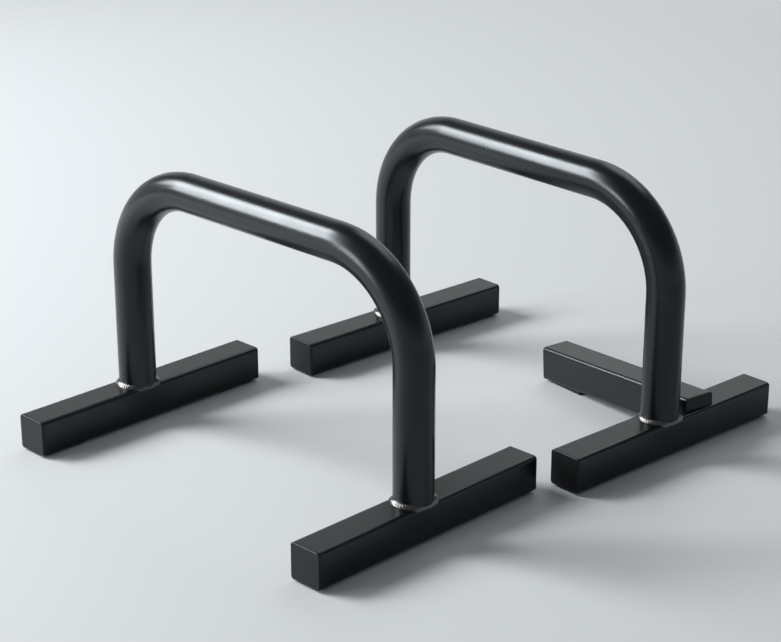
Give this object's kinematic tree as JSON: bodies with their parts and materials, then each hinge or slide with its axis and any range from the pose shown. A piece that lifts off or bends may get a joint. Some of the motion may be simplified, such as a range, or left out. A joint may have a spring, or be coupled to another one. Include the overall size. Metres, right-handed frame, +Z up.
{
  "type": "parallel bars",
  "caption": "Low parallel bars: two bent round-tube handles on square-section feet, with plugged ends and a loose notched prop bar.",
  "frame": {"origin": "centre of the whole set's footprint, on the floor", "axes": "+Z up, +X along the near handle towards its right foot, +Y from the near frame to the far frame"},
  "size_m": [0.536, 0.6812, 0.31],
  "materials": {
    "coated_steel": "satin black powder coat",
    "coated_weld": "glossier black powder coat over a fillet weld",
    "cap_plastic": "moulded black polyethylene, satin",
    "pad_rubber": "matt black rubber"
  },
  "bodies": {
    "near_frame": {"near_handle": "coated_steel", "near_left_foot": "coated_steel", "near_left_weld": "coated_weld", "near_left_foot_front_cap": "cap_plastic", "near_left_foot_front_pad": "pad_rubber", "near_left_foot_rear_cap": "cap_plastic", "near_left_foot_rear_pad": "pad_rubber", "near_right_foot": "coated_steel", "near_right_weld": "coated_weld", "near_right_foot_front_cap": "cap_plastic", "near_right_foot_front_pad": "pad_rubber", "near_right_foot_rear_cap": "cap_plastic", "near_right_foot_rear_pad": "pad_rubber"},
    "far_frame": {"far_handle": "coated_steel", "far_left_foot": "coated_steel", "far_left_weld": "coated_weld", "far_left_foot_front_cap": "cap_plastic", "far_left_foot_front_pad": "pad_rubber", "far_left_foot_rear_cap": "cap_plastic", "far_left_foot_rear_pad": "pad_rubber", "far_right_foot": "coated_steel", "far_right_weld": "coated_weld", "far_right_foot_front_cap": "cap_plastic", "far_right_foot_front_pad": "pad_rubber", "far_right_foot_rear_cap": "cap_plastic", "far_right_foot_rear_pad": "pad_rubber"},
    "prop_bar_set": {"prop_bar": "coated_steel", "prop_floor_cap": "cap_plastic", "prop_seat_cap": "cap_plastic", "prop_pad": "pad_rubber"}
  },
  "joints": [
    {"name": "far_frame_spacing", "type": "slide", "parent": "near_frame", "child": "far_frame", "axis": [0, 1, 0], "range_m": [-0.02, 0.25]},
    {"name": "prop_bar_lift", "type": "slide", "parent": "far_frame", "child": "prop_bar_set", "axis": [0, 0, 1], "range_m": [0, 0.12]}
  ]
}
